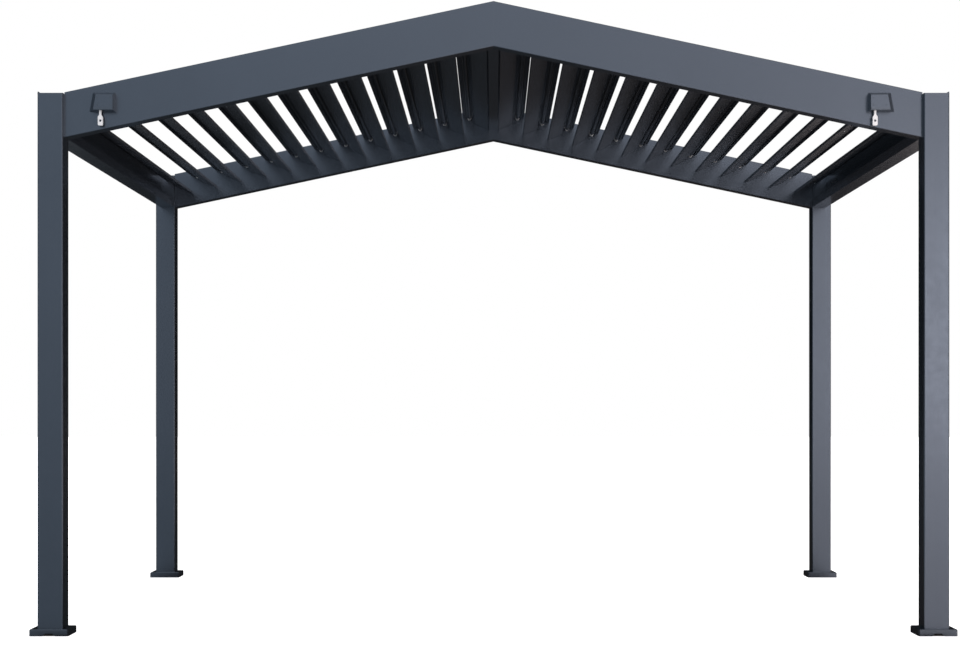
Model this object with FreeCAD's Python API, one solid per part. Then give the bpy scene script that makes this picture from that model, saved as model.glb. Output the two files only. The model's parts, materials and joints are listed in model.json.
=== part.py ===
import FreeCAD, Part
import math
import os

from FreeCAD import Vector

# Louvered pergola: four posts, two gables with a low ridge, two eave gutters and two banks of
# louvers that run from front to back and turn together. Millimetres, X to the right, Y to the
# back, Z up. The origin is on the ground, at the centre of the footprint.

os.makedirs("parts", exist_ok=True)

# Overall sizes
width = 4000.0
depth = 3000.0
pitch_angle = 12.0

# Posts, their caps, base plates and foot covers
post_side = 112.0
post_wall = 3.0
post_round = 5.0
post_top = 2376.0
drain_wide = 40.0
drain_high = 16.0
cap_thick = 4.0
cap_corner = 2.0
cap_lip_wide = 4.0
cap_lip_high = 6.0
plate_room = 4.5
plate_thick = 6.0
anchor_edge = 11.0
anchor_radius = 5.5
cover_side = 171.0
cover_high = 30.0
cover_wall = 3.0
cover_corner = 5.0
cover_bevel = 3.0
cover_fit = 0.3
notch_foot = 57.0
notch_head = 30.0
notch_high = 12.0

# Gable beams, ridge beam and eave gutters
beam_above_post = 12.0
beam_high = 198.0
beam_setback = 30.0
beam_wall = 3.0
beam_bevel = 2.0
ridge_drop = 5.0
ridge_head_half = 40.0
ridge_head_high = 48.0
ridge_web_half = 8.0
ridge_web_high = 80.0
ridge_foot_half = 24.0
ridge_foot_thick = 4.0
gutter_wall = 3.0
gutter_inner_high = 45.0
gutter_hook = 9.0

# Louver section, about the pivot: the ridge side is the long, hollow one
louver_ridge_side = 125.0
louver_outer_side = 40.0
louver_overlap = 15.3
louver_bottom = 20.0
edge_drop = 8.0
seat_wide = 17.0
seat_rise = 1.0
crown_high = 8.0
crown_end = 12.0
crown_bulge = 4.0
shoulder_drop = 3.0
box_outer_side = 43.0
skin = 2.0
arm_thick = 3.5
lip_thick = 4.0
rib_out = 20.0
rib_thick = 3.0
rib_foot = 5.0
boss_radius = 7.0
end_cap_thick = 4.0

# Louver banks
rest_angle = 33.0
pivot_drop = 44.0
ridge_gap = 7.4
moving_gap = 5.0

# Pivot pins and the linkage behind the front gable
pin_sides = 8
pin_radius = 4.0
pin_fit = 0.05
pin_grip = 14.0
pin_end_gap = 1.0
crank_radius = 35.0
crank_mid_angle = 41.0
crank_eye_radius = 9.0
link_pin_radius = 4.0
link_pin_play = 0.5
bar_thick = 5.0
bar_wide = 16.0
bar_end = 12.0
ear_half = 10.0
drive_arm_thick = 5.0
shaft_radius = 6.0
shaft_passage = 2.0
shaft_grip = 20.0

# Winding gearboxes on the front gable, and the eyes that a winding handle hooks into
gearbox_in = 189.0
gearbox_drop = 93.0
gearbox_shaft_up = 33.0
gearbox_shift = 7.0
gearbox_wide = 90.0
gearbox_tall = 68.0
gearbox_deep = 50.0
gearbox_taper = 12.0
gearbox_side_flare = 23.0
gearbox_top_flare = 15.0
gearbox_bevel = 2.0
winder_offset = 25.0
winder_stem_radius = 6.0
winder_stem_grip = 20.0
winder_thick = 13.0
winder_neck_half = 4.5
winder_neck_long = 18.0
winder_shoulder = 9.0
winder_body_half = 10.5
winder_body_long = 38.0
winder_round = 5.0
winder_hole_radius = 5.5
winder_hole_up = 21.0

# Places that follow from the sizes
slope = math.tan(math.radians(pitch_angle))
plate_side = cover_side - 2 * (cover_wall + plate_room)
anchor_spacing = plate_side - 2 * anchor_edge
half_width = width / 2
half_depth = depth / 2
beam_deep = post_side - beam_setback
post_inner_x = half_width - post_side
post_inner_y = half_depth - post_side
post_mid_x = half_width - post_side / 2
post_mid_y = half_depth - post_side / 2
eave_outer_x = half_width - beam_setback
beam_front_y = -half_depth + beam_setback
roof_at_post = post_top + beam_above_post
ridge_top = roof_at_post + slope * post_inner_x
eave_under = roof_at_post - beam_high
upright_wall = beam_wall / math.cos(math.radians(pitch_angle))
arm_layer = -post_inner_y + moving_gap
bar_layer = arm_layer + drive_arm_thick + moving_gap
louver_front = bar_layer + bar_thick + moving_gap
louver_back = post_inner_y - moving_gap
gearbox_out = post_inner_x - gearbox_in
gearbox_middle = ridge_top - slope * gearbox_out - gearbox_drop
gearbox_under = gearbox_middle - gearbox_shaft_up
louver_pitch = louver_ridge_side + louver_outer_side - louver_overlap
ridge_sweep = math.hypot(louver_ridge_side, louver_bottom)
outer_sweep = math.hypot(louver_outer_side, edge_drop)
first_pivot_out = ridge_web_half + ridge_gap + ridge_sweep
last_pivot_out = eave_outer_x - gutter_wall - moving_gap - outer_sweep
pitch_out = louver_pitch * math.cos(math.radians(pitch_angle))
louver_count = 1 + int((last_pivot_out - first_pivot_out) / pitch_out)


def roof_line(x):
    """Height of the gables' top edge."""
    return ridge_top - slope * abs(x)


def box(x0, x1, y0, y1, z0, z1):
    return Part.makeBox(x1 - x0, y1 - y0, z1 - z0, Vector(x0, y0, z0))


def square_block(side, z0, z1):
    """An upright block centred on the front right post."""
    half = side / 2
    return box(post_mid_x - half, post_mid_x + half, -post_mid_y - half, -post_mid_y + half,
               z0, z1)


def flat_face(corners):
    return Part.Face(Part.makePolygon(corners + corners[:1]))


def prism_y(points, y0, y1):
    """A prism whose outline lies in the XZ plane, from y0 to y1."""
    return flat_face([Vector(x, y0, z) for x, z in points]).extrude(Vector(0, y1 - y0, 0))


def rod_y(x, z, radius, y0, y1):
    return Part.makeCylinder(radius, y1 - y0, Vector(x, y0, z), Vector(0, 1, 0))


def pin_y(x, z, radius, y0, y1):
    """A pin with flats, whose corners lie on the radius."""
    turns = [2 * math.pi * step / pin_sides for step in range(pin_sides)]
    return prism_y([(x + radius * math.cos(t), z + radius * math.sin(t)) for t in turns], y0, y1)


def port_y(x, z, radius, y0, y1):
    """The hole for such a pin, whose flats lie at the radius."""
    return pin_y(x, z, radius / math.cos(math.pi / pin_sides), y0, y1)


def strap_y(x0, z0, x1, z1, half, y0, y1):
    """A flat strap from one centre to another."""
    along = Vector(x1 - x0, 0, z1 - z0).normalize()
    side_x, side_z = -along.z * half, along.x * half
    return prism_y([(x0 + side_x, z0 + side_z), (x1 + side_x, z1 + side_z),
                    (x1 - side_x, z1 - side_z), (x0 - side_x, z0 - side_z)], y0, y1)


def mirror_x(shape):
    return shape.mirror(Vector(0, 0, 0), Vector(1, 0, 0))


def mirror_y(shape):
    return shape.mirror(Vector(0, 0, 0), Vector(0, 1, 0))


def four_corners(shape):
    """A piece of the front right corner at all four corners."""
    return [mirror_x(shape), shape, mirror_y(mirror_x(shape)), mirror_y(shape)]


def upright_edges(shape):
    return [edge for edge in shape.Edges if edge.BoundBox.ZLength > 1 and
            edge.BoundBox.XLength < 0.01 and edge.BoundBox.YLength < 0.01]


def save(name, shape):
    shape.exportStep("parts/" + name + ".step")


# Corner pieces

def make_post():
    """A square tube with a drain slot from the gutter and one behind the cover's notch."""
    tube = square_block(post_side, plate_thick, post_top)
    tube = tube.makeFillet(post_round, upright_edges(tube))
    tube = tube.cut(square_block(post_side - 2 * post_wall, plate_thick, post_top))
    inlet_foot = eave_under + gutter_wall
    inlet = box(post_mid_x - drain_wide / 2, post_mid_x + drain_wide / 2,
                -post_inner_y - post_wall, -post_inner_y, inlet_foot, inlet_foot + drain_high)
    outlet = box(post_mid_x - drain_wide / 2, post_mid_x + drain_wide / 2,
                 -half_depth, -half_depth + post_wall, plate_thick, plate_thick + drain_high)
    return tube.cut(inlet).cut(outlet)


def make_post_cap():
    plate = square_block(post_side, post_top, post_top + cap_thick)
    plate = plate.makeChamfer(cap_corner, upright_edges(plate))
    lip = box(half_width - cap_lip_wide, half_width, -half_depth + post_round,
              -post_inner_y - post_round, post_top + cap_thick / 2,
              post_top + cap_thick + cap_lip_high)
    return plate.fuse(lip).removeSplitter()


def make_base_plate():
    plate = square_block(plate_side, 0, plate_thick)
    reach = anchor_spacing / 2
    for dx in (-reach, reach):
        for dy in (-reach, reach):
            middle = Vector(post_mid_x + dx, -post_mid_y + dy, 0)
            plate = plate.cut(Part.makeCylinder(anchor_radius, plate_thick, middle))
    return plate


def make_foot_cover():
    """A shell round the post's foot, with a drain notch under its front face."""
    shell = square_block(cover_side, 0, cover_high)
    shell = shell.makeChamfer(cover_corner, upright_edges(shell))
    rim = [edge for edge in shell.Edges if edge.BoundBox.ZMin > cover_high - 0.01]
    shell = shell.makeChamfer(cover_bevel, rim)
    room = square_block(cover_side - 2 * cover_wall, 0, cover_high - cover_wall)
    sleeve = square_block(post_side + 2 * cover_fit, 0, cover_high)
    notch = prism_y([(post_mid_x - notch_foot / 2, 0), (post_mid_x + notch_foot / 2, 0),
                     (post_mid_x + notch_head / 2, notch_high),
                     (post_mid_x - notch_head / 2, notch_high)],
                    -post_mid_y - cover_side / 2, -post_mid_y - cover_side / 2 + cover_wall)
    return shell.cut(room).cut(sleeve).cut(notch)


# Beams

def make_gable_beam():
    """The front right gable beam: a hollow section with bevelled edges and upright ends."""
    back = beam_front_y + beam_deep
    beam = prism_y([(0, ridge_top), (post_inner_x, roof_at_post),
                    (post_inner_x, roof_at_post - beam_high), (0, ridge_top - beam_high)],
                   beam_front_y, back)
    long_edges = [edge for edge in beam.Edges if edge.BoundBox.XLength > post_side]
    beam = beam.makeChamfer(beam_bevel, long_edges)
    low_x, high_x = -post_side, post_inner_x + post_side
    hollow = prism_y([(low_x, ridge_top - slope * low_x - upright_wall),
                      (high_x, ridge_top - slope * high_x - upright_wall),
                      (high_x, ridge_top - slope * high_x - beam_high + upright_wall),
                      (low_x, ridge_top - slope * low_x - beam_high + upright_wall)],
                     beam_front_y + beam_wall, back - beam_wall)
    return beam.cut(hollow)


def make_front_gable_beam():
    """The same beam with a passage for the gearbox's output shaft."""
    passage = port_y(gearbox_out, gearbox_middle, shaft_radius + shaft_passage,
                     beam_front_y, -post_inner_y)
    return make_gable_beam().cut(passage)


def make_gutter():
    """The right eave gutter: a high outer wall, a low inner wall and a drip hook."""
    inner_x = post_inner_x + gutter_wall
    hook_x = post_inner_x + gutter_hook
    inner_top = eave_under + gutter_inner_high
    points = [(eave_outer_x, eave_under), (eave_outer_x, post_top),
              (eave_outer_x - gutter_wall, post_top),
              (eave_outer_x - gutter_wall, eave_under + gutter_wall),
              (inner_x, eave_under + gutter_wall), (inner_x, inner_top - gutter_wall),
              (hook_x, inner_top - gutter_wall), (hook_x, inner_top),
              (post_inner_x, inner_top), (post_inner_x, eave_under)]
    return prism_y(points, -post_inner_y, post_inner_y)


def make_ridge_beam():
    """A peaked hollow head over a narrow hollow web and a foot flange."""
    crown = ridge_top - ridge_drop
    head_under = crown - ridge_head_high
    foot_top = head_under - ridge_web_high
    right = [(ridge_head_half, crown - slope * ridge_head_half), (ridge_head_half, head_under),
             (ridge_web_half, head_under), (ridge_web_half, foot_top),
             (ridge_foot_half, foot_top), (ridge_foot_half, foot_top - ridge_foot_thick)]
    left = [(-x, z) for x, z in reversed(right)]
    beam = prism_y([(0, crown)] + right + left, -post_inner_y, post_inner_y)
    inside = ridge_head_half - beam_wall
    peak = crown - upright_wall
    head_room = prism_y([(0, peak), (inside, peak - slope * inside),
                         (inside, head_under + beam_wall), (-inside, head_under + beam_wall),
                         (-inside, peak - slope * inside)], -post_inner_y, post_inner_y)
    slot = ridge_web_half - beam_wall
    web_room = box(-slot, slot, -post_inner_y, post_inner_y, foot_top, head_under)
    return beam.cut(head_room).cut(web_room)


# Louvers

def crown_arc(drop):
    """The curved top of the section, from the seat to the crown, lowered by a skin."""
    start_x = -louver_ridge_side + seat_wide
    start_z = seat_rise - edge_drop
    middle = ((start_x + crown_end) / 2, (start_z + crown_high) / 2 + crown_bulge)
    return [Vector(x, 0, z - drop) for x, z in
            ((start_x, start_z), middle, (crown_end, crown_high))]


def ridge_side_face(inset):
    """The hollow part's outline, or its cavity when inset by the skin."""
    near = -louver_ridge_side + inset
    low = -louver_bottom + inset
    start, middle, end = crown_arc(inset)
    crown = Part.Arc(start, middle, end).toShape()
    corner = Vector(near, 0, -edge_drop - inset)
    path = [end, Vector(end.x, 0, low), Vector(near, 0, low), corner, start]
    wire = Part.Wire([crown, Part.makePolygon(path)])
    return Part.Face(wire)


def boss_face():
    """The pivot boss: flats under the skin and a round foot about the pivot."""
    eighth_turn = math.pi / 4
    bend = boss_radius * math.tan(eighth_turn / 2)
    tip = boss_radius * math.cos(eighth_turn)
    foot = Part.Arc(Vector(-tip, 0, -tip), Vector(0, 0, -boss_radius),
                    Vector(tip, 0, -tip)).toShape()
    path = [(tip, -tip), (boss_radius, -bend), (boss_radius, bend), (tip, tip),
            (-tip, tip), (-boss_radius, bend), (-boss_radius, -bend), (-tip, -tip)]
    sides = Part.makePolygon([Vector(x, 0, z) for x, z in path])
    return Part.Face(Part.Wire([foot, sides]))


def make_louver_body():
    """The extruded section: a hollow ridge side, a thin outer arm, a boss, a rib and a lip."""
    long = louver_back - louver_front
    start = Vector(0, louver_front, 0)
    far = 2 * louver_ridge_side
    box_side = box(-far, -box_outer_side, 0, long, -far, far)
    cavity_side = box(-far, -box_outer_side - skin, end_cap_thick, long - end_cap_thick,
                      -far, far)
    solid = ridge_side_face(0).extrude(Vector(0, long, 0))
    hollow = ridge_side_face(skin).extrude(Vector(0, long, 0)).common(cavity_side)
    under_arm = ridge_side_face(0)
    under_arm.translate(Vector(0, 0, -arm_thick))
    under_arm = under_arm.extrude(Vector(0, long, 0))
    arm = solid.cut(under_arm).cut(box_side)
    shoulder = -shoulder_drop
    outer = prism_y([(crown_end, crown_high), (louver_outer_side, shoulder),
                     (louver_outer_side, -edge_drop),
                     (louver_outer_side - lip_thick, -edge_drop),
                     (louver_outer_side - lip_thick, shoulder - arm_thick / 2),
                     (crown_end, crown_high - arm_thick)], 0, long)
    rib = box(rib_out - rib_thick / 2, rib_out + rib_thick / 2, 0, long, -rib_foot,
              crown_high - arm_thick)
    boss = boss_face().extrude(Vector(0, long, 0))
    body = solid.common(box_side).multiFuse([arm, outer, rib, boss]).removeSplitter()
    body = body.cut(hollow)
    body.translate(start)
    return body


def link_pin_local():
    """The link pin about the pivot, in the louver's own section."""
    turn = math.radians(-90 - crank_mid_angle)
    return crank_radius * math.cos(turn), crank_radius * math.sin(turn)


def make_louver(body, link_hole):
    """A louver with its crank on the front end, and ports for its pins."""
    x, z = link_pin_local()
    back = louver_front + end_cap_thick
    crank = strap_y(0, 0, x, z, crank_eye_radius, louver_front, back)
    eye = pin_y(x, z, crank_eye_radius, louver_front, back)
    louver = body.multiFuse([crank, eye]).removeSplitter()
    louver = louver.cut(link_hole)
    return louver.cut(port_y(0, 0, pin_radius + pin_fit, louver_front, louver_back))


def pivot_place(index):
    """X and Z of a louver's pivot in the right bank, counted from the ridge."""
    x = first_pivot_out + index * pitch_out
    return x, roof_line(x) - pivot_drop


def place_louver(louver, index):
    """A louver of the right bank in the pose of rest, its outer edge raised."""
    x, z = pivot_place(index)
    placed = louver.copy()
    placed.rotate(Vector(0, 0, 0), Vector(0, -1, 0), rest_angle - pitch_angle)
    placed.translate(Vector(x, 0, z))
    return placed


def link_pin_place(index):
    """X and Z of a louver's link pin in the pose of rest."""
    x, z = link_pin_local()
    turn = math.radians(rest_angle - pitch_angle)
    pivot_x, pivot_z = pivot_place(index)
    return (pivot_x + x * math.cos(turn) - z * math.sin(turn),
            pivot_z + x * math.sin(turn) + z * math.cos(turn))


def make_pivot_pins():
    """The pins of the right bank, from the faces of the gables into the louvers' bosses."""
    pins = []
    for index in range(louver_count):
        x, z = pivot_place(index)
        pins.append(pin_y(x, z, pin_radius, -post_inner_y, louver_front + pin_grip))
        pins.append(pin_y(x, z, pin_radius, louver_back - pin_grip, post_inner_y))
    return pins


# Linkage and winding gear

def drive_pin_place():
    """X and Z of the drive arm's pin, which moves as the louvers' link pins do."""
    pin_x, pin_z = link_pin_place(0)
    pivot_x, pivot_z = pivot_place(0)
    return gearbox_out + pin_x - pivot_x, gearbox_middle + pin_z - pivot_z


def make_link_bar():
    """The bar that joins the louvers' cranks, with its pins and an ear for the drive arm."""
    places = [link_pin_place(index) for index in range(louver_count)]
    down = math.radians(pitch_angle)
    over_x, over_z = bar_end * math.cos(down), bar_end * math.sin(down)
    (first_x, first_z), (last_x, last_z) = places[0], places[-1]
    back = bar_layer + bar_thick
    bar = strap_y(first_x - over_x, first_z + over_z, last_x + over_x, last_z - over_z,
                  bar_wide / 2, bar_layer, back)
    ear_x, ear_z = drive_pin_place()
    reach = (first_z - slope * (ear_x - first_x) - ear_z) * math.cos(down)
    ear = strap_y(ear_x, ear_z, ear_x + reach * math.sin(down), ear_z + reach * math.cos(down),
                  ear_half, bar_layer, back)
    tip = pin_y(ear_x, ear_z, ear_half, bar_layer, back)
    pin_end = louver_front + end_cap_thick
    pins = [rod_y(first_x, first_z, link_pin_radius, bar_layer, pin_end)]
    pins += [pin_y(x, z, link_pin_radius, bar_layer, pin_end) for x, z in places[1:]]
    hole = port_y(ear_x, ear_z, link_pin_radius + link_pin_play, bar_layer, back)
    return bar.multiFuse([ear, tip] + pins).removeSplitter().cut(hole)


def make_drive_arm():
    """The output shaft through the gable, its arm and the arm's pin."""
    pin_x, pin_z = drive_pin_place()
    back = arm_layer + drive_arm_thick
    shaft = rod_y(gearbox_out, gearbox_middle, shaft_radius, beam_front_y - shaft_grip, back)
    hub = pin_y(gearbox_out, gearbox_middle, ear_half, arm_layer, back)
    tip = pin_y(pin_x, pin_z, crank_eye_radius, arm_layer, back)
    arm = strap_y(gearbox_out, gearbox_middle, pin_x, pin_z, crank_eye_radius, arm_layer, back)
    pin = pin_y(pin_x, pin_z, link_pin_radius, arm_layer, bar_layer + bar_thick)
    return shaft.multiFuse([hub, tip, arm, pin]).removeSplitter()


def make_gearbox_housing():
    """The right housing, from its inner side: its outer side and its top slope to the gable."""
    top = gearbox_tall + gearbox_top_flare
    widest = gearbox_wide + gearbox_side_flare
    plan = flat_face([Vector(0, 0, 0), Vector(0, -gearbox_deep, 0),
                      Vector(gearbox_wide, -gearbox_deep, 0), Vector(widest, 0, 0)])
    lean = gearbox_taper / gearbox_tall * top
    flank = flat_face([Vector(0, 0, 0), Vector(0, -gearbox_deep, 0),
                       Vector(0, -gearbox_deep, gearbox_tall), Vector(0, 0, top)])
    block = plan.extrude(Vector(-lean, 0, top)).common(flank.extrude(Vector(widest, 0, 0)))
    face_rim = [edge for edge in block.Edges if edge.BoundBox.YMax < 0.01 - gearbox_deep]
    return block.makeChamfer(gearbox_bevel, face_rim)


def make_gearbox(side):
    """A gearbox on the front gable, on the right (side 1) or on the left (side -1)."""
    housing = make_gearbox_housing()
    if side < 0:
        housing = mirror_x(housing)
    middle = side * gearbox_out
    inner_side = middle - gearbox_shift - side * (gearbox_wide - gearbox_taper / 2) / 2
    housing.translate(Vector(inner_side, beam_front_y, gearbox_under))
    shaft_bore = port_y(middle, gearbox_middle, shaft_radius + pin_fit,
                        beam_front_y - shaft_grip - pin_end_gap, beam_front_y)
    stem_foot = Vector(middle - winder_offset, beam_front_y - gearbox_deep / 2, gearbox_under)
    stem_bore = Part.makeCylinder(winder_stem_radius + pin_fit, winder_stem_grip + pin_end_gap,
                                  stem_foot)
    return housing.cut(shaft_bore).cut(stem_bore)


def make_winder(side):
    """The eye under a gearbox: a stem in the gearbox, a neck and a body with a cross hole."""
    neck_foot = -winder_neck_long
    body_head = neck_foot - winder_shoulder
    body_foot = body_head - winder_body_long
    right = [(winder_neck_half, -pin_fit), (winder_neck_half, neck_foot),
             (winder_body_half, body_head), (winder_body_half, body_foot)]
    left = [(-x, z) for x, z in reversed(right)]
    half = winder_thick / 2
    blade = prism_y(right + left, -half, half)
    foot_corners = [edge for edge in blade.Edges if edge.BoundBox.ZMax < body_foot + 0.01 and
                    edge.BoundBox.XLength < 0.01]
    blade = blade.makeFillet(winder_round, foot_corners)
    stem = Part.makeCylinder(winder_stem_radius, winder_stem_grip + pin_fit,
                             Vector(0, 0, -pin_fit))
    hole = rod_y(0, body_foot + winder_hole_up, winder_hole_radius, -half, half)
    eye = blade.fuse(stem).cut(hole)
    eye.translate(Vector(side * gearbox_out - winder_offset, beam_front_y - gearbox_deep / 2,
                         gearbox_under))
    return eye


# Corner nodes

corner_names = ["front_left", "front_right", "rear_left", "rear_right"]
for corner, shape in zip(corner_names, four_corners(make_post())):
    save("post_" + corner, shape)
for corner, shape in zip(corner_names, four_corners(make_foot_cover())):
    save("foot_cover_" + corner, shape)
save("post_caps", Part.makeCompound(four_corners(make_post_cap())))
save("base_plates", Part.makeCompound(four_corners(make_base_plate())))

# Beam nodes

front_beam = make_front_gable_beam()
rear_beam = mirror_y(make_gable_beam())
save("gable_beam_front_right", front_beam)
save("gable_beam_front_left", mirror_x(front_beam))
save("gable_beam_rear_right", rear_beam)
save("gable_beam_rear_left", mirror_x(rear_beam))
save("eave_gutter_right", make_gutter())
save("eave_gutter_left", mirror_x(make_gutter()))
save("ridge_beam", make_ridge_beam())

# Louver nodes

louver_body = make_louver_body()
link_hole_depth = (louver_front, louver_front + end_cap_thick)
lead_louver = make_louver(louver_body, rod_y(*link_pin_local(), link_pin_radius + pin_fit,
                                             *link_hole_depth))
other_louver = make_louver(louver_body, port_y(*link_pin_local(),
                                               link_pin_radius + link_pin_play,
                                               *link_hole_depth))
for index in range(louver_count):
    louver = place_louver(lead_louver if index == 0 else other_louver, index)
    number = "%02d" % (index + 1)
    save("louver_right_" + number, louver)
    save("louver_left_" + number, mirror_x(louver))
right_pins = make_pivot_pins()
save("pivot_pins", Part.makeCompound(right_pins + [mirror_x(pin) for pin in right_pins]))

# Linkage and winding nodes

link_bar = make_link_bar()
save("link_bar_right", link_bar)
save("link_bar_left", mirror_x(link_bar))
drive_arm = make_drive_arm()
save("drive_arm_right", drive_arm)
save("drive_arm_left", mirror_x(drive_arm))
save("gearbox_right", make_gearbox(1))
save("gearbox_left", make_gearbox(-1))
save("winder_eye_right", make_winder(1))
save("winder_eye_left", make_winder(-1))
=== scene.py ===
import json
import math

import bmesh
import bpy
from mathutils import Matrix, Vector


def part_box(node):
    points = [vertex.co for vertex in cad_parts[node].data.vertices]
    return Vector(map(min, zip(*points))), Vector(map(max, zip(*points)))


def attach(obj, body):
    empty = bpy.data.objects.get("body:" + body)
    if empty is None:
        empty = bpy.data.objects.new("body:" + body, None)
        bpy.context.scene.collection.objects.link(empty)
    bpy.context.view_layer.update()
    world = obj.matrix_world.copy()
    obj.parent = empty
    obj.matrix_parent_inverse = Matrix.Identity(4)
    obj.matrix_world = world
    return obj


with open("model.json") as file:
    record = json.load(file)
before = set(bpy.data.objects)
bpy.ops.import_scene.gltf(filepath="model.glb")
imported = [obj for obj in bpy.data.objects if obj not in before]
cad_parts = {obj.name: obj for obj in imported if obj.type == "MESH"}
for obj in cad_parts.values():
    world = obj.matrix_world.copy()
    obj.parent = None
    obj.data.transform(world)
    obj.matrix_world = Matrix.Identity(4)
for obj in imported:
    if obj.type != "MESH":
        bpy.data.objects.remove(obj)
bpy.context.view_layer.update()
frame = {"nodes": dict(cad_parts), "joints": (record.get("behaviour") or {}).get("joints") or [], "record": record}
scene = bpy.context.scene
side_signs = {"left": -1, "right": 1}


# Materials: lengths in metres, noise scales per metre

noise_low, noise_high = 0.3, 0.7
edge_radius = 0.0015
edge_samples = 4
edge_sharp = 0.8
bump_depth = 0.0001

coat_rough = 0.22
coat_rough_spread = 0.02
coat_gloss = 0.75
cloud_scale = 2.2
satin_scale = 35
peel_scale = 700
peel_strength = 0.03

mill_scale = 60
mill_rough_spread = 0.06
mill_strength = 0.2
drawn_along_y = (1, 0.05, 1)
no_grain = (1, 1, 1)

soil_scale = 60
sheen_scale = 140
plastic_rough = 0.32
plastic_rough_spread = 0.05
plastic_peel_scale = 500
plastic_peel_strength = 0.15


def new_material(name):
    """A material with its node tree, its shader and the object's coordinates."""
    material = bpy.data.materials.new(name)
    material.use_nodes = True
    tree = material.node_tree
    shader = tree.nodes["Principled BSDF"]
    place = tree.nodes.new("ShaderNodeTexCoord").outputs["Object"]
    return material, tree, shader, place


def noise(tree, place, scale, detail, stretch=no_grain):
    """A noise value, with the place stretched first."""
    mapping = tree.nodes.new("ShaderNodeMapping")
    mapping.inputs["Scale"].default_value = stretch
    tree.links.new(place, mapping.inputs["Vector"])
    texture = tree.nodes.new("ShaderNodeTexNoise")
    texture.inputs["Scale"].default_value = scale
    texture.inputs["Detail"].default_value = detail
    tree.links.new(mapping.outputs["Vector"], texture.inputs["Vector"])
    return texture.outputs["Fac"]


def span(tree, value, low, high):
    """The part of a noise's range that holds nearly all of it, spread over low to high."""
    node = tree.nodes.new("ShaderNodeMapRange")
    node.inputs["From Min"].default_value = noise_low
    node.inputs["From Max"].default_value = noise_high
    node.inputs["To Min"].default_value = low
    node.inputs["To Max"].default_value = high
    tree.links.new(value, node.inputs["Value"])
    return node.outputs["Result"]


def edge_highlight_mask(tree):
    """Where the painted edge highlight goes: a value that rises from 0 on flat faces towards 1 on sharp edges."""
    bevel = tree.nodes.new("ShaderNodeBevel")
    bevel.samples = edge_samples
    bevel.inputs["Radius"].default_value = edge_radius
    plain = tree.nodes.new("ShaderNodeNewGeometry")
    dot = tree.nodes.new("ShaderNodeVectorMath")
    dot.operation = "DOT_PRODUCT"
    tree.links.new(bevel.outputs["Normal"], dot.inputs[0])
    tree.links.new(plain.outputs["Normal"], dot.inputs[1])
    spread = tree.nodes.new("ShaderNodeMapRange")
    spread.inputs["From Min"].default_value = 1.0
    spread.inputs["From Max"].default_value = edge_sharp
    tree.links.new(dot.outputs["Value"], spread.inputs["Value"])
    return spread.outputs["Result"]


def mix_colours(tree, factor, first, second):
    """A colour between two colours or colour outputs."""
    node = tree.nodes.new("ShaderNodeMix")
    node.data_type = "RGBA"
    tree.links.new(factor, node.inputs["Factor"])
    for socket, colour in ((node.inputs[6], first), (node.inputs[7], second)):
        if isinstance(colour, tuple):
            socket.default_value = colour + (1,)
        else:
            tree.links.new(colour, socket)
    return node.outputs[2]


def set_rough(tree, shader, value, middle, spread):
    """Roughness that follows a noise value on both sides of the middle."""
    tree.links.new(span(tree, value, middle - spread, middle + spread),
                   shader.inputs["Roughness"])


def bump(tree, shader, height, strength):
    """A fine relief that follows a noise value."""
    node = tree.nodes.new("ShaderNodeBump")
    node.inputs["Strength"].default_value = strength
    node.inputs["Distance"].default_value = bump_depth
    tree.links.new(height, node.inputs["Height"])
    tree.links.new(node.outputs["Normal"], shader.inputs["Normal"])


def powder_coat(name, dark, light, edge_highlight):
    """A baked coat: faint clouds, a fine orange peel and a lighter colour on the edges, a painted highlight."""
    material, tree, shader, place = new_material(name)
    clouds = span(tree, noise(tree, place, cloud_scale, detail=3), 0, 1)
    body = mix_colours(tree, clouds, dark, light)
    # The edges take the lighter edge colour: a painted highlight along every edge
    tree.links.new(mix_colours(tree, edge_highlight_mask(tree), body, edge_highlight), shader.inputs["Base Color"])
    set_rough(tree, shader, noise(tree, place, satin_scale, detail=2),
              coat_rough, coat_rough_spread)
    shader.inputs["Metallic"].default_value = coat_gloss
    bump(tree, shader, noise(tree, place, peel_scale, detail=2), peel_strength)
    return material


def mill_metal(name, dark, light, rough, grain=no_grain):
    """Bare metal with streaks along its grain."""
    material, tree, shader, place = new_material(name)
    lines = noise(tree, place, mill_scale, detail=4, stretch=grain)
    tree.links.new(mix_colours(tree, span(tree, lines, 0, 1), dark, light),
                   shader.inputs["Base Color"])
    set_rough(tree, shader, lines, rough, mill_rough_spread)
    shader.inputs["Metallic"].default_value = 1.0
    bump(tree, shader, lines, mill_strength)
    return material


def moulded_plastic(name, dark, light):
    """Moulded plastic with a faint sheen and slight soiling."""
    material, tree, shader, place = new_material(name)
    soil = span(tree, noise(tree, place, soil_scale, detail=3), 0, 1)
    tree.links.new(mix_colours(tree, soil, dark, light), shader.inputs["Base Color"])
    set_rough(tree, shader, noise(tree, place, sheen_scale, detail=2),
              plastic_rough, plastic_rough_spread)
    bump(tree, shader, noise(tree, place, plastic_peel_scale, detail=2), plastic_peel_strength)
    return material


# The third colour of each coat is the painted highlight on its edges
frame_coat = powder_coat("frame_coat", dark=(0.059, 0.0755, 0.0985),
                         light=(0.063, 0.0805, 0.105), edge_highlight=(0.090, 0.108, 0.130))
louver_coat = powder_coat("louver_coat", dark=(0.0605, 0.0715, 0.0885),
                          light=(0.065, 0.0765, 0.094), edge_highlight=(0.090, 0.104, 0.124))
cover_coat = powder_coat("cover_coat", dark=(0.0575, 0.0725, 0.093),
                         light=(0.0615, 0.077, 0.099), edge_highlight=(0.090, 0.108, 0.126))
bare_metal = mill_metal("bare_metal", dark=(0.46, 0.47, 0.48), light=(0.60, 0.61, 0.62),
                        rough=0.34, grain=drawn_along_y)
screw_metal = mill_metal("screw_metal", dark=(0.50, 0.50, 0.50), light=(0.66, 0.66, 0.65),
                         rough=0.26)
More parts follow.
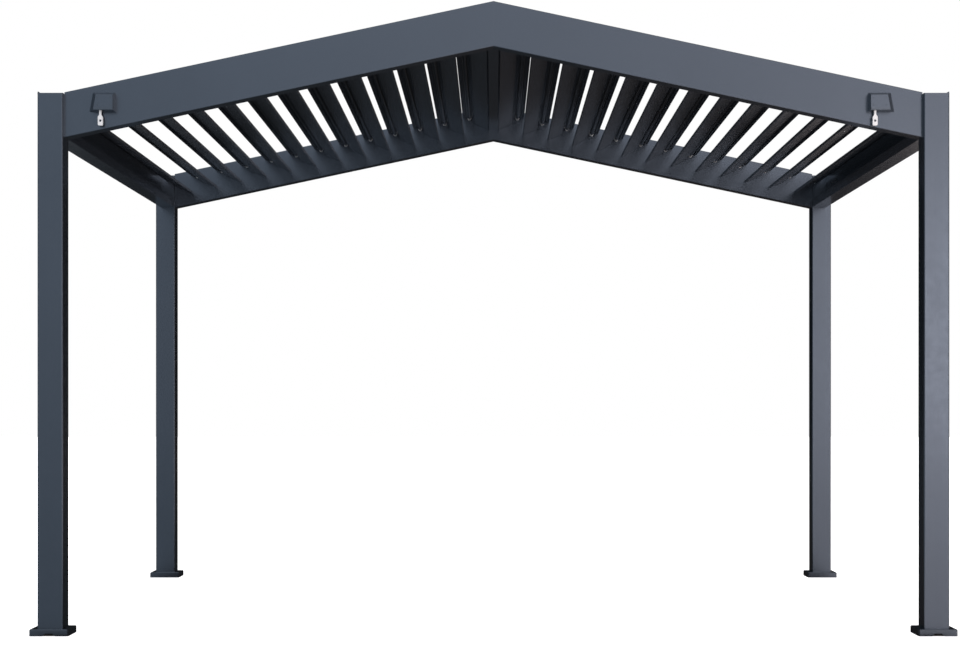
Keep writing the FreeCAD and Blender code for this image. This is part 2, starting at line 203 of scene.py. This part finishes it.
# A near-black metal for the base plates: painted shade, as they sit in the shade inside the foot covers
plate_painted_shade = mill_metal("plate_painted_shade", dark=(0.06, 0.06, 0.065), light=(0.10, 0.10, 0.105),
                       rough=0.62)
white_plastic = moulded_plastic("white_plastic", dark=(0.76, 0.79, 0.81),
                                light=(0.80, 0.83, 0.85))

slot_materials = {"frame_coat": frame_coat, "louver_coat": louver_coat,
                  "cover_coat": cover_coat, "winder_metal": white_plastic,
                  "bare_metal": bare_metal}
for row in frame["record"]["subparts"]:
    node = frame["nodes"][row["node"]]
    material = slot_materials[row["material_slot"]]
    # The base plates take the near-black metal: painted shade inside the foot covers
    if row["node"] == "base_plates":
        material = plate_painted_shade
    for slot in node.material_slots:
        slot.material = material
    if not node.material_slots:
        node.data.materials.append(material)


# Small pieces: the heads' profiles close round a hair-thin core

head_core = 0.0001
head_shoulder = 0.6
head_crown = 0.7


def finish_piece(name, mesh, material, body):
    """A new piece made from the bmesh, on a body of the frame."""
    data = bpy.data.meshes.new(name)
    mesh.to_mesh(data)
    mesh.free()
    piece = bpy.data.objects.new(name, data)
    scene.collection.objects.link(piece)
    data.materials.append(material)
    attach(piece, body)


def turned(mesh, profile, centre, axis, steps):
    """Adds a turned shape: the profile's (radius, height) points run along the axis."""
    turn = Vector((0, 0, 1)).rotation_difference(Vector(axis)).to_matrix().to_4x4()
    place = Matrix.Translation(Vector(centre)) @ turn
    rings = []
    for radius, height in profile:
        ring = []
        for step in range(steps):
            angle = 2 * math.pi * step / steps
            point = Vector((radius * math.cos(angle), radius * math.sin(angle), height))
            ring.append(mesh.verts.new(place @ point))
        rings.append(ring)
    for low, high in zip(rings, rings[1:] + rings[:1]):
        for step in range(steps):
            after = (step + 1) % steps
            mesh.faces.new((low[step], low[after], high[after], high[step]))


def screw_head(radius, high, base=0):
    """A screw head's profile above its base: rim, bevel and flat top."""
    return [(radius, base), (radius, base + high * head_shoulder),
            (radius * head_crown, base + high), (head_core, base + high)]


def joint_place(name):
    """Where the frame has the joint."""
    return next(joint["pos_m"] for joint in frame["joints"] if joint["name"] == name)


def pivot_places():
    """X and Z of the pivots of both banks, from the louvers' joints."""
    return [(joint["pos_m"][0], joint["pos_m"][2]) for joint in frame["joints"]
            if joint["name"].startswith("louver_")]


# Bushings between the louvers and the gables
bushing_outer = 0.010
bushing_inner = 0.0042
bushing_thick = 0.003
bushing_bevel_wide = 0.0015
bushing_bevel_high = 0.0009
bushing_profile = [(bushing_inner, 0), (bushing_outer, 0),
                   (bushing_outer, bushing_thick - bushing_bevel_high),
                   (bushing_outer - bushing_bevel_wide, bushing_thick),
                   (bushing_inner, bushing_thick)]
front_face_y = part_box("gable_beam_front_left")[1][1]
rear_face_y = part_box("gable_beam_rear_left")[0][1]
for name, face_y, toward in (("front", front_face_y, 1), ("rear", rear_face_y, -1)):
    mesh = bmesh.new()
    for x, z in pivot_places():
        turned(mesh, bushing_profile, (x, face_y, z), (0, toward, 0), steps=20)
    finish_piece("pivot_bushings_" + name, mesh, white_plastic, "frame")

# Coated screws and the lower strip on the gearboxes' front faces
screw_radius = 0.003
screw_high = 0.0012
screw_inset = 0.012
screw_heights = (0.022, 0.054)
strip_high = 0.009
strip_up = 0.002
strip_proud = 0.0015
strip_wide = 0.081
strip_inset = 0.003
for side, sign in side_signs.items():
    low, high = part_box("gearbox_" + side)
    face_y = low[1]
    inner_x = sign * min(abs(low[0]), abs(high[0]))
    outer_x = inner_x + sign * strip_wide
    mesh = bmesh.new()
    for x in (inner_x + sign * screw_inset, outer_x - sign * screw_inset):
        for up in screw_heights:
            turned(mesh, [(head_core, 0)] + screw_head(screw_radius, screw_high),
                   (x, face_y, low[2] + up), (0, -1, 0), steps=16)
    finish_piece("gearbox_screws_" + side, mesh, cover_coat, "frame")
    mesh = bmesh.new()
    middle = Vector((inner_x + sign * (strip_inset + strip_wide / 2), face_y - strip_proud / 2,
                     low[2] + strip_up + strip_high / 2))
    bmesh.ops.create_cube(mesh, size=1, matrix=Matrix.LocRotScale(
        middle, None, Vector((strip_wide, strip_proud, strip_high))))
    finish_piece("gearbox_strip_" + side, mesh, cover_coat, "frame")

# Rivet heads on the link bars' front faces, one for each louver's crank
rivet_radius = 0.006
rivet_high = 0.002
rivet_dome = ((1, 0), (0.9, 0.55), (0.55, 0.9))
rivet_profile = ([(head_core, 0)]
                 + [(rivet_radius * wide, rivet_high * up) for wide, up in rivet_dome]
                 + [(head_core, rivet_high)])
for side, sign in side_signs.items():
    bar_face_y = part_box("link_bar_" + side)[0][1]
    pivots = [pivot for pivot in pivot_places() if pivot[0] * sign > 0]
    first_rivet = joint_place("link_bar_" + side + "_turn")
    shift_x, shift_z = first_rivet[0] - pivots[0][0], first_rivet[2] - pivots[0][1]
    mesh = bmesh.new()
    for x, z in pivots:
        turned(mesh, rivet_profile, (x + shift_x, bar_face_y, z + shift_z), (0, -1, 0), steps=18)
    finish_piece("link_rivets_" + side, mesh, screw_metal, "link_bar_" + side)

# A washer and a screw at the inner end of each gearbox's output shaft
washer_radius = 0.0085
washer_thick = 0.001
head_radius = 0.005
head_high = 0.0024
arm_to_louver = 0.015
shaft_profile = ([(head_core, 0), (washer_radius, 0), (washer_radius, washer_thick)]
                 + screw_head(head_radius, head_high, washer_thick))
for side in side_signs:
    shaft = joint_place("drive_arm_" + side + "_turn")
    arm_back_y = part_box("louver_" + side + "_01")[0][1] - arm_to_louver
    mesh = bmesh.new()
    turned(mesh, shaft_profile, (shaft[0], arm_back_y, shaft[2]), (0, 1, 0), steps=24)
    finish_piece("shaft_screw_" + side, mesh, screw_metal, "drive_arm_" + side)


# Floor, light and camera

def level(tree, value, low, high, low_level, high_level):
    """A smooth step from one level to the other while the value goes from low to high."""
    node = tree.nodes.new("ShaderNodeMapRange")
    node.interpolation_type = "SMOOTHSTEP"
    node.inputs["From Min"].default_value = low
    node.inputs["From Max"].default_value = high
    node.inputs["To Min"].default_value = low_level
    node.inputs["To Max"].default_value = high_level
    tree.links.new(value, node.inputs["Value"])
    return node.outputs["Result"]


def combine(tree, operation, *values):
    """Applies one operation to outputs and numbers in turn."""
    result = values[0]
    for value in values[1:]:
        node = tree.nodes.new("ShaderNodeMath")
        node.operation = operation
        for socket, given in zip(node.inputs, (result, value)):
            if isinstance(given, (int, float)):
                socket.default_value = given
            else:
                tree.links.new(given, socket)
        result = node.outputs[0]
    return result


def glow(tree, *offsets):
    """A soft round patch: each offset is a value, its middle and its reach."""
    total = 0
    for value, middle, reach in offsets:
        share = combine(tree, "DIVIDE", combine(tree, "SUBTRACT", value, middle), reach)
        total = combine(tree, "ADD", combine(tree, "MULTIPLY", share, share), total)
    node = tree.nodes.new("ShaderNodeMath")
    node.operation = "EXPONENT"
    tree.links.new(combine(tree, "MULTIPLY", total, -0.5), node.inputs[0])
    return node.outputs[0]


def split(tree, place):
    """X, Y and Z of a place or direction."""
    parts = tree.nodes.new("ShaderNodeSeparateXYZ")
    tree.links.new(place, parts.inputs[0])
    return parts.outputs


def show_apart(tree, to_others, to_camera, output):
    """Gives the camera's rays one shader and all other rays another."""
    choice = tree.nodes.new("ShaderNodeMixShader")
    seen = tree.nodes.new("ShaderNodeLightPath").outputs["Is Camera Ray"]
    tree.links.new(seen, choice.inputs[0])
    tree.links.new(to_others.outputs[0], choice.inputs[1])
    tree.links.new(to_camera.outputs[0], choice.inputs[2])
    tree.links.new(choice.outputs[0], output.inputs["Surface"])


# The object's faces grow lighter and warmer from left to right, in the floor and the sky alike
left_tint = (0.92, 1.0, 1.08)
right_tint = (1.15, 1.0, 0.96)

# The floor is lit before and beside the object and dark below and behind it
floor_reach = 60
floor_shade = 0.8
floor_left_level = 0.52
floor_right_level = 1.30
floor_dim_level = 0.02
floor_blend_x = 1
floor_blend = 0.2
floor_front_end = -1.54
floor_rear_start = 1.4
floor_dark_half = 1.91
floor_dark_widening = 0.35


def floor_material():
    """Pale to the camera, with the object's shadow; to other rays dark below and behind."""
    material, tree, shader, place = new_material("studio_floor")
    tree.nodes.remove(shader)
    pale = tree.nodes.new("ShaderNodeBsdfDiffuse")
    pale.inputs["Color"].default_value = (floor_shade, floor_shade, floor_shade, 1)
    shine = tree.nodes.new("ShaderNodeEmission")
    shine.inputs["Strength"].default_value = floor_shade
    both = tree.nodes.new("ShaderNodeAddShader")
    tree.links.new(pale.outputs[0], both.inputs[0])
    tree.links.new(shine.outputs[0], both.inputs[1])
    x, y = split(tree, place)[:2]
    across = level(tree, x, -floor_blend_x, floor_blend_x, floor_left_level, floor_right_level)
    before = level(tree, y, floor_front_end - floor_blend, floor_front_end, 1, 0)
    from_middle = combine(tree, "MAXIMUM", x, combine(tree, "MULTIPLY", x, -1))
    behind = combine(tree, "MAXIMUM", combine(tree, "SUBTRACT", y, floor_rear_start), 0)
    widening = combine(tree, "MULTIPLY", behind, floor_dark_widening)
    beside = level(tree, combine(tree, "SUBTRACT", from_middle, widening),
                   floor_dark_half, floor_dark_half + floor_blend, 0, 1)
    lit = combine(tree, "MULTIPLY", across, combine(tree, "MAXIMUM", before, beside))
    light = tree.nodes.new("ShaderNodeEmission")
    tree.links.new(combine(tree, "ADD", lit, floor_dim_level), light.inputs["Strength"])
    right_share = level(tree, x, -floor_blend_x, floor_blend_x, 0, 1)
    tree.links.new(mix_colours(tree, right_share, left_tint, right_tint), light.inputs["Color"])
    show_apart(tree, light, both, tree.nodes["Material Output"])
    return material


floor_mesh = bpy.data.meshes.new("studio_floor")
floor_mesh.from_pydata([(-floor_reach, -floor_reach, 0), (floor_reach, -floor_reach, 0),
                        (floor_reach, floor_reach, 0), (-floor_reach, floor_reach, 0)],
                       [], [(0, 1, 2, 3)])
floor = bpy.data.objects.new("studio_floor", floor_mesh)
floor_mesh.materials.append(floor_material())
scene.collection.objects.link(floor)

# The sky's light by a direction's parts: across to the right, along to the rear, and up
front_fade = (-0.9, -0.3)
side_fade = (-0.3, 0.0)
rear_fade = (0.0, 0.4)
panel_turn = 0.2
panel_left_level = 0.77
panel_right_level = 1.05
tint_turn = 0.4

# Soft patches round the front panel: level, then middle and reach across and up
high_band = (1.0, (0.0, 0.5), (0.4, 0.12))
right_patch = (0.4, (0.25, 0.2), (0.2, 0.07))
low_right_spot = (7.5, (0.30, 0.07), (0.03, 0.05))

flank_level = 0.4
flank_squares = (0.75, 0.95)
rear_level = 0.2
rear_heights = (0.4, 0.7)
overhead_level = 0.9
overhead_heights = (0.6, 0.95)
shade_level = 0.004


def studio_world():
    """White to the camera; to other rays a studio that is light before the object."""
    world = bpy.data.worlds.new("studio")
    world.use_nodes = True
    tree = world.node_tree
    direction = tree.nodes.new("ShaderNodeTexCoord").outputs["Generated"]
    across, along, up = split(tree, direction)
    panel = combine(tree, "MULTIPLY", level(tree, along, *front_fade, 1, 0),
                    level(tree, across, -panel_turn, panel_turn,
                          panel_left_level, panel_right_level))
    patches = [combine(tree, "MULTIPLY", glow(tree, (across, *beside), (up, *height)), strength)
               for strength, beside, height in (high_band, right_patch, low_right_spot)]
    lamps = combine(tree, "MULTIPLY", combine(tree, "ADD", *patches),
                    level(tree, along, *side_fade, 1, 0))
    flanks = combine(tree, "MULTIPLY", level(tree, along, *side_fade, 0, 1),
                     level(tree, combine(tree, "MULTIPLY", across, across),
                           *flank_squares, 0, flank_level))
    rear = combine(tree, "MULTIPLY", level(tree, up, *rear_heights, 0, rear_level),
                   level(tree, along, *rear_fade, 0, 1))
    overhead = level(tree, up, *overhead_heights, 0, overhead_level)
    studio = tree.nodes["Background"]
    tree.links.new(combine(tree, "ADD", panel, lamps, flanks, rear, overhead, shade_level),
                   studio.inputs["Strength"])
    right_share = level(tree, across, -tint_turn, tint_turn, 0, 1)
    tree.links.new(mix_colours(tree, right_share, left_tint, right_tint),
                   studio.inputs["Color"])
    white = tree.nodes.new("ShaderNodeBackground")
    white.inputs["Color"].default_value = (1, 1, 1, 1)
    white.inputs["Strength"].default_value = 1.0
    show_apart(tree, studio, white, tree.nodes["World Output"])
    return world


scene.world = studio_world()

# A soft lamp behind, for the faces that the front's light doesn't reach
rear_lamp_power = 5.0
rear_lamp_spread = math.radians(20)
rear_lamp_height = math.radians(15)
rear_lamp = bpy.data.objects.new("rear_lamp", bpy.data.lights.new("rear_lamp", "SUN"))
rear_lamp.data.energy = rear_lamp_power
rear_lamp.data.angle = rear_lamp_spread
rear_lamp.rotation_euler = (rear_lamp_height - math.pi / 2, 0, 0)
rear_lamp.visible_glossy = False
scene.collection.objects.link(rear_lamp)

camera_data = bpy.data.cameras.new("camera")
camera_data.sensor_width = 36
camera_data.lens = 70.33
camera_data.shift_x = -0.014
camera_data.shift_y = 0.0875
camera = bpy.data.objects.new("camera", camera_data)
camera.location = (0, -9.723, 0.987)
camera.rotation_euler = (math.pi / 2, 0, 0)
scene.collection.objects.link(camera)
scene.camera = camera
scene.view_settings.view_transform = "Standard"
